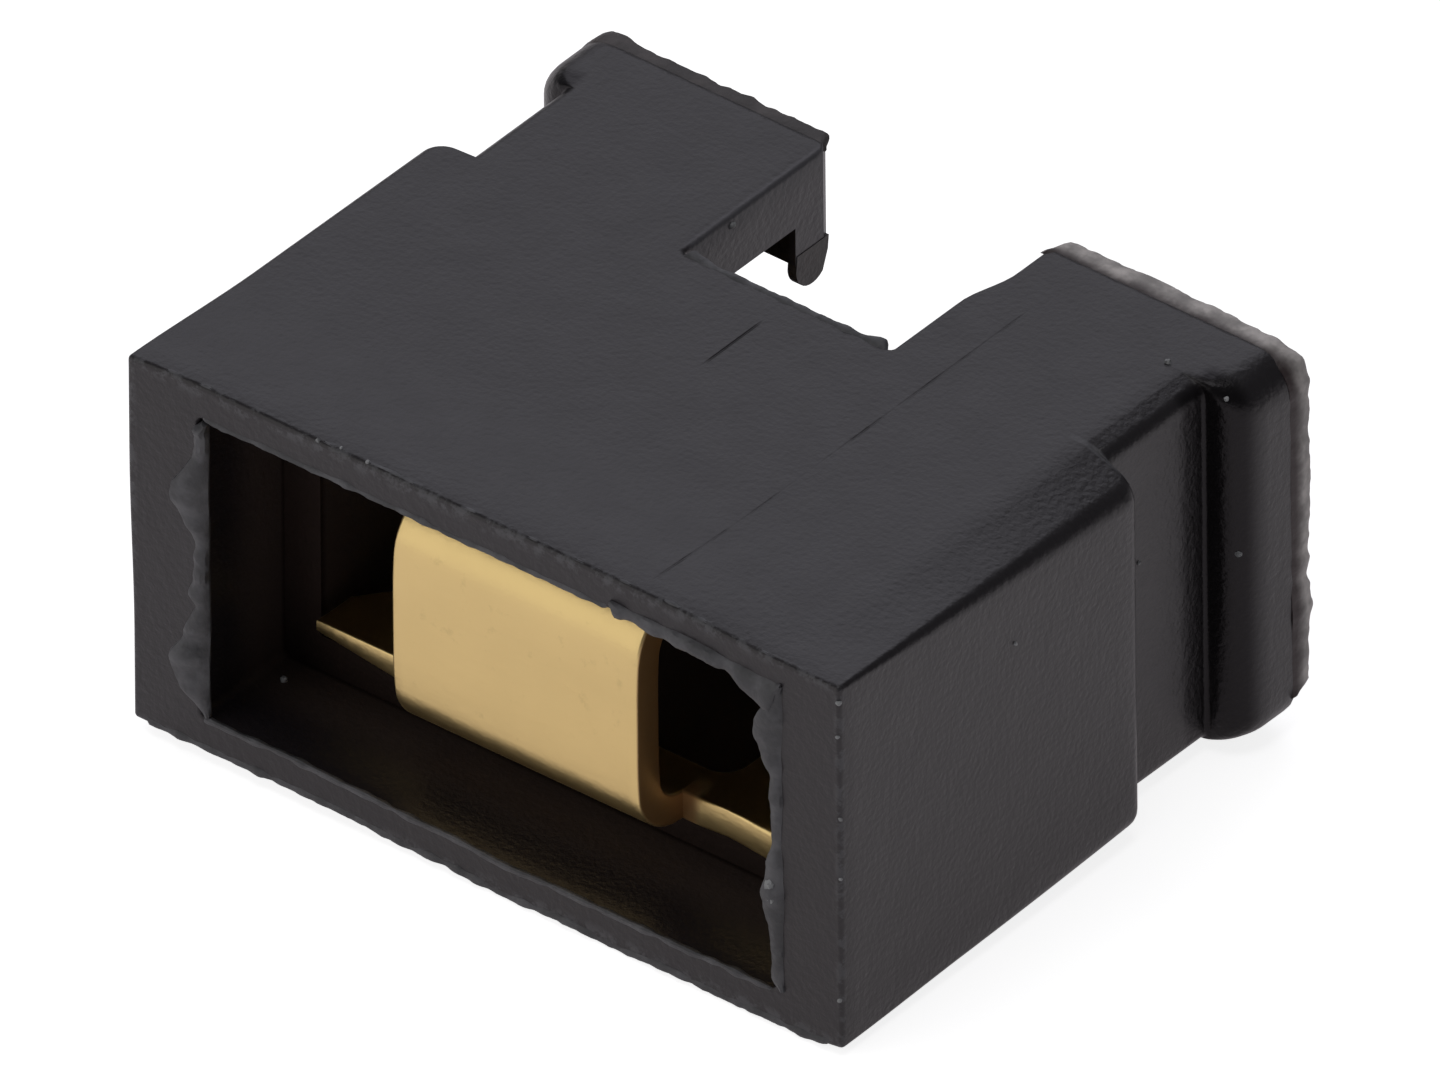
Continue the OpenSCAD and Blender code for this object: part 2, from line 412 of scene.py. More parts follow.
def pocket_cutter(sizes):
    """The open pocket, flared where it meets the front."""
    half_w = sizes.body_w / 2 - sizes.side_wall
    corner = 0.05

    def ring(depth, flare):
        w = half_w + flare
        low, high = sizes.thin_wall - flare, HOUSING_H - sizes.thin_wall + flare
        corners = [(w - corner, high - corner, 0), (w - corner, low + corner, 1),
                   (-w + corner, low + corner, 2), (-w + corner, high - corner, 3)]
        points = []
        for (x, z, quarter), (x2, z2, _) in zip(corners, corners[1:] + corners[:1]):
            for turn in spread(0, math.pi / 2, 4):
                a = turn + quarter * math.pi / 2
                points.append((x + corner * math.sin(a), z + corner * math.cos(a)))
            a = (quarter + 1) * math.pi / 2
            out = (corner * math.sin(a), corner * math.cos(a))
            steps = 12 if quarter % 2 == 0 else 36
            points += [(x + out[0] + (x2 - x) * s, z + out[1] + (z2 - z) * s)
                       for s in spread(0, 1, steps)[1:-1]]
        return [(x, depth, z) for x, z in points]

    # The deep end is square, so the levels that its rounding would add are one and the same
    rim = sizes.rim_r * 0.7
    depths = rounded_levels(0.0, sizes.pocket_len, rim, 0.0, 8)[:-4]
    return loft([ring(depth, flare) for depth, flare in [(-PAST, rim)] + depths])


def box_cutter(low, high):
    """A plain box between two corners."""
    (x0, y0, z0), (x1, y1, z1) = low, high
    rings = [[(x0, y, z0), (x1, y, z0), (x1, y, z1), (x0, y, z1)] for y in (y0, y1)]
    return loft(rings)


def hollow_cutters(sizes):
    """The chamber, the ears' channels and the post windows."""
    low, high = CONTACT_Z - CONTACT_H / 2, CONTACT_Z + CONTACT_H / 2
    wing_gap, arm_gap = 0.06, 0.2
    chamber_x = CONTACT_HIGH.x / MM + wing_gap
    chamber_end = sizes.notch_y - sizes.notch_wall
    lip_y = HOUSING_LEN - sizes.lip_len
    half = sizes.window_h / 2
    yield box_cutter((-chamber_x, sizes.pocket_len / 2, low), (chamber_x, chamber_end, high))
    for side in (-1, 1):
        x0, x1 = sorted((side * sizes.channel_in, side * sizes.channel_out))
        yield box_cutter((x0, chamber_end - PAST, low), (x1, lip_y, high))
        x0, x1 = sorted((0.0, side * (sizes.channel_in + arm_gap)))
        yield box_cutter((x0, sizes.notch_y, low), (x1, lip_y, high))
        x0, x1 = sorted((0.0, side * sizes.window_out))
        yield box_cutter((x0, lip_y - PAST, CONTACT_Z - half),
                         (x1, HOUSING_LEN + PAST, CONTACT_Z + half))


def warped(sizes):
    """The mould's small errors, all of them near the open front.

    The roof bulges up over most of its width, the floor sags on the right, and the left
    wall leans out a little towards the top."""
    reach, lean = 1.1, 0.025

    def moved(x, depth, z):
        near = 1 - smooth(depth / reach)
        up = (z - HOUSING_H / 2) / (HOUSING_H / 2)
        roof = sizes.roof_bow * smooth((x + 2.9) / 0.9) * smooth((2.1 - x) / 0.9)
        sag = sizes.floor_bow * smooth((x + 1.4) / 1.6) * smooth((2.75 - x) / 0.5)
        z += near * (roof * max(up, 0.0) + sag * min(up, 0.0))
        x -= near * lean * smooth((-x - 2.1) / 0.4) * smooth((z - 0.6) / 1.2)
        return Vector((x, depth, z))

    return moved


class SHUNT_OT_housing(bpy.types.Operator):
    """Builds the moulded housing, with its open front, two ears and grips"""
    bl_idname = "shunt.housing"
    bl_label = "Housing"

    def execute(self, context):
        sizes = in_millimetres(context.scene.shunt_housing)
        piece = as_object("moulded_housing", skin(sizes))
        carve(piece, notch_cutter(sizes))
        carve(piece, pocket_cutter(sizes))
        for cutter in hollow_cutters(sizes):
            carve(piece, cutter)
        bend_points(piece, warped(sizes))
        finish_piece(piece, plastic_material(context.scene.shunt_colours, sizes))
        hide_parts("housing")
        return {"FINISHED"}


# Flash ---------------------------------------------------------------------

def ragged_fin(rail, lean, reach, thickness, seed, sunk=0.07, rough=0.022):
    """A thin ragged fin of flash along a rail of points.

    It grows along lean by reach(share), with a ragged edge. Its section is an ellipse
    whose root is sunk in the housing, so that it swells out of the wall without a step."""
    rings = []
    lean = Vector(lean).normalized()
    across = (rail[-1] - rail[0]).cross(lean).normalized()
    # Waves for each millimetre of the long bulges, the ripples and the small chips
    paces = (2.5, 9.0, 24.0)
    # How deep the edge lies in the wall at the fin's ends and, at most, between them
    end_depth, most_depth, end_steps = 0.03, 0.02, 3
    travelled = 0.0
    for i, spot in enumerate(rail):
        travelled += (spot - rail[i - 1]).length if i else 0.0
        wave, ripple, chip = (noise.noise(Vector((travelled * pace, seed, 9.0 * row)))
                              for row, pace in enumerate(paces))
        height = reach(i / (len(rail) - 1)) * (1 + 0.4 * wave) + rough * (ripple + 0.3 * chip)
        fade = smooth(min(i, len(rail) - 1 - i) / end_steps)
        height = -end_depth + (max(height, -most_depth) + end_depth) * fade
        half = thickness / 2 * (1 + 0.6 * ripple)
        middle = spot + across * 0.3 * thickness * wave
        ring = []
        for t in spread(0, 2 * math.pi, 10)[:-1]:
            out = (height - sunk) / 2 + (height + sunk) / 2 * math.sin(t)
            ring.append(middle + across * half * math.cos(t) + lean * out)
        rings.append(ring)
    return loft(rings)


def rail_through(corners, step=0.02):
    """Points about a step apart along straight lines between corners."""
    points = [Vector(corners[0])]
    for a, b in zip(corners, corners[1:]):
        a, b = Vector(a), Vector(b)
        count = max(1, round((b - a).length / step))
        points += [a.lerp(b, i / count) for i in range(1, count + 1)]
    return points


def gathered(name, parts):
    """One object that holds all the given bmeshes, which are used up."""
    whole = bmesh.new()
    for part in parts:
        mesh = bpy.data.meshes.new("part")
        part.to_mesh(mesh)
        part.free()
        whole.from_mesh(mesh)
        bpy.data.meshes.remove(mesh)
    return as_object(name, whole)


def mouth_fins(sizes):
    """Flash round the open front, on its inner and outer edges, and on the notch's floor."""
    side = sizes.body_w / 2 - sizes.side_wall
    low, high = sizes.thin_wall, HOUSING_H - sizes.thin_wall
    body = sizes.body_w / 2
    brow_x, notch_z = 0.9, HOUSING_H - 0.01

    def left(share):
        return (0.02 + 0.14 * hump(share, 0.75, 0.17) + 0.14 * hump(share, 0.2, 0.2)
                + 0.03 * hump(share, 0.42, 0.06))

    def right(share):
        return 0.03 + 0.04 * hump(share, 0.3, 0.2) + 0.09 * hump(share, 0.82, 0.16)

    def brow(share):
        return 0.015 + 0.02 * smooth(share / 0.3) + 0.13 * smooth((share - 0.66) / 0.3)

    def plain(height):
        return lambda share: height

    def notch_reach(share):
        return 0.02 + 0.03 * smooth(abs(share - 0.5) * 6 - 2)

    yield ragged_fin(rail_through([(-side, 0, low + 0.02), (-side, 0, high - 0.02)]),
                     (-0.9, -0.42, 0), left, thickness=0.09, seed=1.0)
    yield ragged_fin(rail_through([(side, 0.01, low + 0.02), (side, 0.01, high + 0.05)]),
                     (-0.97, -0.22, 0), right, thickness=0.09, seed=2.0)
    yield ragged_fin(rail_through([(brow_x, 0.01, high), (side + 0.06, 0.01, high)]),
                     (0, -0.2, -0.98), brow, thickness=0.09, seed=3.0)
    yield ragged_fin(rail_through([(-side, 0, low), (side, 0, low)]), (0, -0.7, 0.7),
                     plain(0.012), thickness=0.04, seed=4.0, sunk=0.05, rough=0.012)
    yield ragged_fin(rail_through([(-side, 0, high), (brow_x, 0, high)]), (0, -0.8, -0.6),
                     plain(0.008), thickness=0.04, seed=5.0, sunk=0.05, rough=0.012)
    top = [(-body + 0.03, 0.015, HOUSING_H - 0.01), (body - 0.05, 0.015, HOUSING_H - 0.01)]
    yield ragged_fin(rail_through(top), (0, -0.85, 0.5),
                     plain(0.003), thickness=0.03, seed=6.0, sunk=0.04, rough=0.004)
    foot = [(-body + 0.06, 0.015, 0.02), (body - 0.06, 0.015, 0.02)]
    yield ragged_fin(rail_through(foot), (0, -0.5, -0.86),
                     plain(0.026), thickness=0.05, seed=7.0, sunk=0.04, rough=0.012)
    floor = [(-sizes.notch_left, sizes.notch_y, notch_z),
             (sizes.notch_right, sizes.notch_y, notch_z)]
    yield ragged_fin(rail_through(floor), (0, 0.8, 0.5),
                     notch_reach, thickness=0.05, seed=10.0, sunk=0.05, rough=0.012)


def tail_rail(sizes, side, inner_x, foot_z):
    """Points round an ear's rear face, from its inner top corner to its outer foot."""
    inset = sizes.tail_r * 0.3
    depth, r = HOUSING_LEN - 0.01, sizes.grip_r - inset
    outer, high = HOUSING_W / 2 - inset / 3, HOUSING_H - inset
    corner = [(outer - r + r * math.sin(t), high - r + r * math.cos(t))
              for t in spread(0, math.pi / 2, 8)]
    path = [(inner_x, high), *corner, (outer, foot_z)]
    return rail_through([(side * x, depth, z) for x, z in path])


def flecks(sizes):
    """Specks of dust and torn bits, as (x, depth, z, radius)."""
    body, high = sizes.body_w / 2, HOUSING_H
    return ((-sizes.notch_left, 3.13, 2.40, 0.022), (2.015, 3.56, 2.46, 0.022),
            (2.42, 3.58, 2.374, 0.016), (-1.9, 0.55, 0.23, 0.022),
            (body - 0.01, 0.004, 2.36, 0.016), (body - 0.02, 0.004, 2.12, 0.013),
            (body - 0.01, 0.01, 1.56, 0.014), (body - 0.01, 0.01, 1.15, 0.012),
            (body - 0.02, 0.004, 0.33, 0.015), (2.48, 3.6, 1.33, 0.02),
            (2.05, -0.03, 0.93, 0.03), (2.07, -0.03, 0.84, 0.024),
            (-1.2, 0.01, high - 0.003, 0.014), (-1.05, 0.03, high, 0.011),
            (-0.85, 0.02, high - 0.002, 0.015),
            (body, 1.55, 1.9, 0.014), (sizes.ears_w / 2, 2.95, 1.55, 0.014))


def fleck(x, depth, z, radius):
    """One rounded, uneven speck."""
    made = bmesh.new()
    bmesh.ops.create_icosphere(made, subdivisions=2, radius=radius)
    for vertex in made.verts:
        lump = 1 + 0.5 * noise.noise(vertex.co * 60 + Vector((x, depth, z)) * 7)
        vertex.co = vertex.co * lump + Vector((x, depth, z))
    return made


def lip_tooth(sizes):
    """A rounded flap of flash that hangs from the inner end of the left ear's lip."""
    lip_y, low = HOUSING_LEN - sizes.lip_len, CONTACT_Z + sizes.window_h / 2
    centre_y, centre_z, r = lip_y + 0.14, low - 0.05, 0.14
    path = [(lip_y + 0.01, low + 0.06), (lip_y, centre_z)]
    path += [(centre_y - r * math.cos(t), centre_z - r * math.sin(t))
             for t in spread(0.1, 2.3, 10)]
    path += [(HOUSING_LEN - 0.07, low - 0.03), (HOUSING_LEN - 0.06, low + 0.06)]
    return loft([[(x, y, z) for y, z in path]
                 for x in (-sizes.notch_left - 0.06, -sizes.notch_left + 0.004)])


class SHUNT_OT_flash(bpy.types.Operator):
    """Builds the ragged flash that the mould left on the housing"""
    bl_idname = "shunt.flash"
    bl_label = "Flash"

    def execute(self, context):
        sizes = in_millimetres(context.scene.shunt_housing)
        colours = context.scene.shunt_colours
        inner = sizes.notch_right + sizes.notch_step
        back = (0, 1, 0)

        def right_reach(share):
            return 0.11 + 0.02 * hump(share, 0.25, 0.2) - 0.02 * smooth((share - 0.6) / 0.3)

        def left_reach(share):
            return 0.07 + 0.035 * hump(share, 0.44, 0.08) - 0.02 * smooth((share - 0.5) / 0.1)

        def trimmed(x, depth, z):
            return Vector((x, min(depth, HOUSING_LEN + FLASH_LIMIT), z))

        right = ragged_fin(tail_rail(sizes, 1, inner - 0.02, 0.16), back, right_reach,
                           thickness=0.06, seed=21.0)
        left = ragged_fin(tail_rail(sizes, -1, sizes.notch_left + 0.03, 0.4), back, left_reach,
                          thickness=0.045, seed=22.0)
        pieces = (
            ("mouth_flash", list(mouth_fins(sizes)),
             flash_material("pale_mouth_flash", colours.edge_highlight_and_flash)),
            ("left_tail_flash", [left, lip_tooth(sizes)],
             flash_material("dull_flash", colours.dull)),
            ("right_tail_flash", [right],
             flash_material("pale_flash", colours.flash, colours.root, HOUSING_LEN - 0.03)),
            ("flecks", [fleck(*spot) for spot in flecks(sizes)],
             flash_material("pale_fleck", colours.fleck)))
        for name, parts, material in pieces:
            piece = gathered(name, parts)
            bend_points(piece, trimmed)
            bend_points(piece, warped(sizes))
            finish_piece(piece, material)
        return {"FINISHED"}


# Contact -------------------------------------------------------------------

class Fold:
    """Half of the contact's folded path, from the web's middle to an arm's tip."""

    def __init__(self, sizes):
        self.sizes = sizes
        self.front = (CONTACT_LOW.y - FRONT_Y) / MM + sizes.sheet_t / 2
        self.half_h = CONTACT_H / 2 - sizes.sheet_t / 2
        ease = sizes.web_ease / sizes.ease_r
        self.ease_end = sizes.web_flat + sizes.web_ease
        self.ease_z = sizes.web_flat + sizes.ease_r * math.sin(ease)
        self.ease_y = self.front + sizes.ease_r * (1 - math.cos(ease))
        self.bend_r = (self.half_h - self.ease_z) / (1 - math.sin(ease))
        self.ease = ease
        self.plate_s = self.ease_end + self.bend_r * (math.pi / 2 - ease)
        self.plate_y = self.ease_y + self.bend_r * math.cos(ease)
        self.arm_s = self.plate_s + sizes.wing_len + sizes.wing_taper
        self.arm_y = self.plate_y + self.arm_s - self.plate_s
        self.arm_len = (CONTACT_HIGH.y - FRONT_Y) / MM - self.arm_y
        self.end_s = self.arm_s + self.arm_len
        self.rise = CONTACT_H / 2 - sizes.sheet_t - sizes.pinch_gap / 2

    def at(self, s):
        """Depth, height above the middle and turn from upright, at a length s of path."""
        sizes = self.sizes
        if s <= sizes.web_flat:
            return self.front, s, 0.0
        if s <= self.ease_end:
            turn = (s - sizes.web_flat) / sizes.ease_r
            return (self.front + sizes.ease_r * (1 - math.cos(turn)),
                    sizes.web_flat + sizes.ease_r * math.sin(turn), turn)
        if s <= self.plate_s:
            turn = self.ease + (s - self.ease_end) / self.bend_r
            return (self.plate_y - self.bend_r * math.cos(turn),
                    self.half_h - self.bend_r * (1 - math.sin(turn)), turn)
        depth = self.plate_y + s - self.plate_s
        share = max(0.0, (s - self.arm_s) / self.arm_len)
        sag = self.rise * (1 - math.cos(2 * math.pi * share)) / 2
        slope = self.rise * math.pi / self.arm_len * math.sin(2 * math.pi * share)
        return depth, self.half_h - sag, math.pi / 2 + math.atan(slope)

    def moved(self, x, along, off):
        """Where a point of the flat blank goes; off is its height off the middle surface.

        The lower left wing thins towards its tip, and the lower right one is buckled."""
        depth, z, turn = self.at(abs(along))
        if along < 0 and x < 0:
            out = min(1.0, max(0.0, (-x - 0.9) / 0.84))
            thin = 0.65 * out * (1 - smooth((depth - 0.6) / 0.3))
            half = self.sizes.sheet_t / 2
            off = (off + half) * (1 - thin) - half
        depth -= off * math.cos(turn)
        z += off * math.sin(turn)
        if along < 0 and x > 0:
            lip = 1 - smooth((depth - 0.5) / 0.22)
            z -= lip * (0.06 * hump(x, 1.2, 0.2) - 0.08 * smooth((x - 1.3) / 0.3))
        return Vector((x, depth, CONTACT_Z + math.copysign(z, along)))


def blank_outline(sizes, fold):
    """Right upper quarter of the flat blank, as (across, along) points from the web out."""
    wing_x = CONTACT_HIGH.x / MM
    arm_in, arm_out = sizes.arm_x - sizes.arm_w / 2, sizes.arm_x + sizes.arm_w / 2
    slot = fold.plate_s + sizes.bridge_len
    points = [(sizes.web_w / 2, fold.plate_s), (wing_x, fold.plate_s),
              (wing_x, fold.plate_s + sizes.wing_len), (arm_out, fold.arm_s),
              (arm_out, fold.end_s), (arm_in, fold.end_s)]
    r = sizes.slot_r
    points += [(arm_in - r + r * math.cos(t), slot + r - r * math.sin(t))
               for t in spread(0, math.pi / 2, 6)]
    return points


def slice_mesh(made, places, normal):
    """Cuts a bmesh's faces along planes at the given places on one axis."""
    for place in places:
        geometry = made.verts[:] + made.edges[:] + made.faces[:]
        bmesh.ops.bisect_plane(made, geom=geometry, dist=1e-5,
                               plane_co=[place * n for n in normal], plane_no=normal)


def contact_mesh(sizes):
    """The contact as one sheet, cut to its blank and then folded."""
    fold = Fold(sizes)
    quarter = blank_outline(sizes, fold)
    upper = quarter + [(-x, y) for x, y in reversed(quarter)]
    outline = upper + [(x, -y) for x, y in reversed(upper)]
    made = bmesh.new()
    face = made.faces.new([made.verts.new((x, y, -sizes.sheet_t / 2)) for x, y in outline])
    grown = bmesh.ops.extrude_face_region(made, geom=[face])
    for vertex in (v for v in grown["geom"] if isinstance(v, bmesh.types.BMVert)):
        vertex.co.z = sizes.sheet_t / 2
    bmesh.ops.recalc_face_normals(made, faces=made.faces)
    rims = [e for e in made.edges if e.verts[0].co.z * e.verts[1].co.z > 0]
    bmesh.ops.bevel(made, geom=rims, offset=sizes.edge_r, segments=3, profile=0.5,
                    affect="EDGES", clamp_overlap=True)
    stations = spread(0, sizes.web_flat, 3)[1:] + spread(sizes.web_flat, fold.ease_end, 5)[1:]
    stations += spread(fold.ease_end, fold.plate_s, 16)[1:-1]
    stations += spread(fold.plate_s, fold.arm_s, 12)[1:]
    stations += spread(fold.arm_s, fold.end_s, 40)[1:-1]
    slice_mesh(made, [-s for s in stations] + [0.0] + stations, (0, 1, 0))
    wing_reach = 1.7
    slice_mesh(made, spread(-wing_reach, wing_reach, 34), (1, 0, 0))
    for vertex in made.verts:
        vertex.co = fold.moved(*vertex.co)
    bmesh.ops.recalc_face_normals(made, faces=made.faces)
    return made


class SHUNT_OT_contact(bpy.types.Operator):
    """Builds the folded brass contact with its web, wings and four spring arms"""
    bl_idname = "shunt.contact"
    bl_label = "Contact"

    def execute(self, context):
        sizes = in_millimetres(context.scene.shunt_contact)
        piece = as_object("folded_contact", contact_mesh(sizes))
        finish_piece(piece, brass_material(context.scene.shunt_colours))
        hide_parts("contact")
        return {"FINISHED"}


# Materials -----------------------------------------------------------------

class Wire:
    """A number's socket in a material; arithmetic on it adds Math nodes."""

    def __init__(self, finish, socket):
        self.finish = finish
        self.socket = socket

    def math(self, operation, *values):
        """A Math node on some values."""
        return self.finish.add("ShaderNodeMath", {"operation": operation}, dict(enumerate(values)))

    def __add__(self, other):
        return self.math("ADD", self, other)

    __radd__ = __add__

    def __sub__(self, other):
        return self.math("SUBTRACT", self, other)

    def __rsub__(self, other):
        return self.math("SUBTRACT", other, self)

    def __mul__(self, other):
        return self.math("MULTIPLY", self, other)

    __rmul__ = __mul__

    def away(self, place):
        """How far the number is from a place."""
        off = self - place
        return off.math("ABSOLUTE", off)

    def larger(self, other):
        """The larger of two numbers."""
        return self.math("MAXIMUM", self, other)

    def step(self, start, end):
        """A smooth step from 0 at start to 1 at end."""
        settings = {"interpolation_type": "SMOOTHSTEP"}
        return self.finish.add("ShaderNodeMapRange", settings,
                               {"Value": self, "From Min": start, "From Max": end})


class Nodes:
    """The nodes of one material or world."""

    def __init__(self, owner):
        owner.use_nodes = True
        self.tree = owner.node_tree
        self.tree.nodes.clear()

    def add(self, kind, settings=None, inputs=None, output=0):
        """Adds a node, sets it, fills its sockets and gives one of its outputs."""
        node = self.tree.nodes.new(kind)
        for name, value in (settings or {}).items():
            setattr(node, name, value)
        for name, value in (inputs or {}).items():
            if isinstance(value, Wire):
                self.tree.links.new(value.socket, node.inputs[name])
            else:
                node.inputs[name].default_value = value
        return Wire(self, node.outputs[output])

    def end(self, shader, kind="ShaderNodeOutputMaterial"):
        """Links a shader to an output node of the given kind."""
        output = self.tree.nodes.new(kind)
        self.tree.links.new(shader.socket, output.inputs["Surface"])


class Finish(Nodes):
    """The nodes of one material, with what the shunt's finishes share."""

    def __init__(self, name):
        self.material = bpy.data.materials.new(name)
        super().__init__(self.material)

    def place(self):
        """Object coordinates in millimetres, as a vector and as X, depth and Z."""
        spot = self.add("ShaderNodeTexCoord", output="Object")
        spot = self.add("ShaderNodeVectorMath", {"operation": "SCALE"}, {0: spot, "Scale": 1 / MM})
        parts = self.tree.nodes.new("ShaderNodeSeparateXYZ")
        self.tree.links.new(spot.socket, parts.inputs[0])
        x, y, z = (Wire(self, parts.outputs[i]) for i in range(3))
        return spot, x, y - FRONT_Y / MM, z

    def noise(self, spot, scale, detail=2.0, rough=0.5):
        """A noise between 0 and 1, with scale in waves for each millimetre."""
        return self.add("ShaderNodeTexNoise", None, {
            "Vector": spot, "Scale": scale, "Detail": detail, "Roughness": rough})

    def mix(self, share, first, second):
        """A mix of two colours."""
        return self.add("ShaderNodeMix", {"data_type": "RGBA"},
                        {0: share, 6: first, 7: second}, output=2)

    def bump(self, height, distance, normal=None):
        """A bump whose full height is distance, in millimetres."""
        inputs = {"Height": height, "Distance": distance * MM, "Strength": 1.0}
        if normal:
            inputs["Normal"] = normal
        return self.add("ShaderNodeBump", None, inputs)

    def surface(self, inputs):
        """The material's surface, from the principled shader."""
        self.end(self.add("ShaderNodeBsdfPrincipled", None, inputs))
        return self.material


def opaque(shade, factor=1.0):
    """A colour scaled by a factor, with full alpha."""
    return (*(part * factor for part in shade), 1.0)


def seam_line(x, depth, place, start, end):
    """A mask along a line that runs back over the top at a given X."""
    half_width, fade = 0.012, 0.15
    ends = depth.step(start, start + fade) * depth.step(end, end - fade)
    return x.away(place).step(half_width, 0.0) * ends


def plastic_material(colours, sizes):
    """Black moulded plastic: fine grain, faint mould lines and painted highlights on its edges.

    Its tone is set by place: painted shade in the hollows before the grips, on the left ear's
    wall, and a painted brown reflection of the brass in the pocket."""
    finish = Finish("moulded_plastic")
    spot, x, depth, z = finish.place()
    grain = finish.noise(spot, 26.0, 3.0)
    peel = finish.noise(spot, 4.0, 3.0)
    cloud = finish.noise(spot, 1.1)
    nicks = finish.noise(spot, 9.0, 4.0, 0.7)
    faint = finish.noise(spot, 2.5).step(0.35, 0.65)
    wide = x.away(0.0)

    long_seam, short_seam = 1.10, 0.0
    lines = seam_line(x, depth, long_seam, 0.1, 3.5) * (0.05 + 0.35 * faint)
    lines = (lines + seam_line(x, depth, short_seam, 1.9, 2.5) * 0.7) * z.step(2.2, 2.3)

    rim = z.step(2.38, 2.46).larger(wide.step(2.48, 2.54)).larger(z.step(0.07, 0.0))
    # Painted highlight along the front face's edges, broken up by noise, and along the top's step
    # at the body's rear and the notch's top edge
    edge_highlight = depth.step(0.06, 0.01) * rim * nicks.step(0.45, 0.6)
    rear_edge = depth.away(sizes.body_len).step(0.03, 0.01) * x.step(2.0, 2.1)
    notch_edge = x.away(-sizes.notch_left - 0.005).step(0.04, 0.015) * depth.step(2.75, 2.8)
    edge_highlight = edge_highlight.larger((rear_edge + notch_edge * 0.7) * z.step(2.3, 2.4))

    # Painted shade in the hollow before each grip, which is also smoother and partly metallic there
    cove_shade = depth.step(3.3, 3.4) * depth.step(3.72, 3.62) * wide.step(2.2, 2.27)
    ear_wall = x.away(-sizes.notch_left - 0.01).step(0.05, 0.02) * depth.step(2.7, 2.8)
    # Painted brown reflection of the brass on the pocket's shaded walls, which are also rougher;
    # the ledge at the pocket's deep end is made nearly metallic in that brown, as painted shade
    inside = depth.step(0.2, 0.6) * depth.step(2.5, 2.3) * wide.step(2.12, 2.07)
    inside = inside * z.step(0.1, 0.2) * z.step(2.35, 2.26)
    ledge = inside * depth.step(0.72, 0.755) * depth.step(0.82, 0.77)

    dark = opaque(colours.plastic, 0.25)
    mottle = cloud * 0.35 + 0.3 * nicks
    base = finish.mix(mottle, opaque(colours.plastic), opaque(colours.plastic, 1.6))
    base = finish.mix(ear_wall, base, opaque(colours.ear_wall))
    base = finish.mix(edge_highlight * 0.6, base, opaque(colours.edge_highlight_and_flash))
    base = finish.mix(lines * 0.8, base, dark)
    base = finish.mix(cove_shade * 0.5, base, dark)
    base = finish.mix(inside * 0.8, base, opaque(colours.pocket))
    roughness = 0.33 + 0.08 * peel + 0.15 * lines + 0.1 * edge_highlight - 0.06 * cove_shade + 0.3 * inside
    normal = finish.bump(grain, 0.005)
    normal = finish.bump(peel * (1 - 0.8 * cove_shade), 0.004, normal)
    normal = finish.bump(1 - lines, 0.008, normal)
    return finish.surface({"Base Color": base, "Roughness": roughness,
                           "Metallic": 0.6 * cove_shade + 0.9 * ledge, "Normal": normal})


def flash_material(name, shade, root=None, root_depth=0.0):
    """Thin ragged plastic, paler than the thick walls, with darker patches.

    Flash that runs back from the part is also darker near its root."""
    finish = Finish(name)
    spot, _, depth, _ = finish.place()
    patches = finish.noise(spot, 6.0, 3.0, 0.6)
    grain = finish.noise(spot, 30.0)
    base = finish.mix(patches.step(0.35, 0.7), opaque(shade, 0.5), opaque(shade))
    if root:
        near = (depth + 0.05 * patches).step(root_depth + 0.1, root_depth)
        base = finish.mix(near, base, opaque(root))
    normal = finish.bump(grain, 0.005)
    return finish.surface({"Base Color": base, "Roughness": 0.5, "Normal": normal})


def brass_material(colours):
    """Pale rolled brass with a soft grain, faint clouds, dull marks and painted shade, darker and
    duller, on its cut sides.
    """
    finish = Finish("rolled_brass")
    spot, x, depth, _ = finish.place()
    grain = finish.noise(spot, 28.0, 3.0)
    rolled = finish.add("ShaderNodeVectorMath", {"operation": "MULTIPLY"}, {0: spot, 1: (3, 1, 14)})
    streaks = finish.noise(rolled, 1.0, 3.0)
    cloud = finish.noise(spot, 2.2)
    marks = finish.noise(spot, 7.0, 4.0, 0.6).step(0.62, 0.75)
    wide = x.away(0.0)
    # Painted shade on the web's cut sides near the front: a darker, less metallic brown
    cut = wide.step(0.868, 0.88) * wide.step(1.02, 0.94) * depth.step(0.85, 0.7)
    base = finish.mix(cloud * 0.6, opaque(colours.brass), opaque(colours.brass, 0.86))
    base = finish.mix(marks * 0.25, base, opaque(colours.brass, 0.6))
    base = finish.mix(cut * 0.85, base, opaque(colours.shaded_cut_brass))
    roughness = 0.27 + 0.07 * grain + 0.06 * streaks
    normal = finish.bump(grain, 0.0016)
    normal = finish.bump(streaks, 0.002, normal)
    return finish.surface({"Base Color": base, "Metallic": 1 - 0.7 * cut,
                           "Roughness": roughness, "Normal": normal})


# Studio --------------------------------------------------------------------

def add_lamp(name, size, radiance, tint, place, aim):
    """A square soft light of a given brightness, seen from the part."""
    lamp = bpy.data.lights.new(name, "AREA")
    lamp.shape = "SQUARE"
    lamp.size = size
    lamp.energy = radiance * math.pi * size * size
    lamp.color = tint
    holder = bpy.data.objects.new(name, lamp)
    bpy.context.scene.collection.objects.link(holder)
    holder.location = place
    holder.rotation_euler = (Vector(aim) - Vector(place)).to_track_quat("-Z", "Y").to_euler()


def direction(azimuth, elevation):
    """The unit vector towards an azimuth, from the front anticlockwise, and an elevation."""
    return Vector((math.sin(azimuth) * math.cos(elevation),
                   -math.cos(azimuth) * math.cos(elevation), math.sin(elevation)))


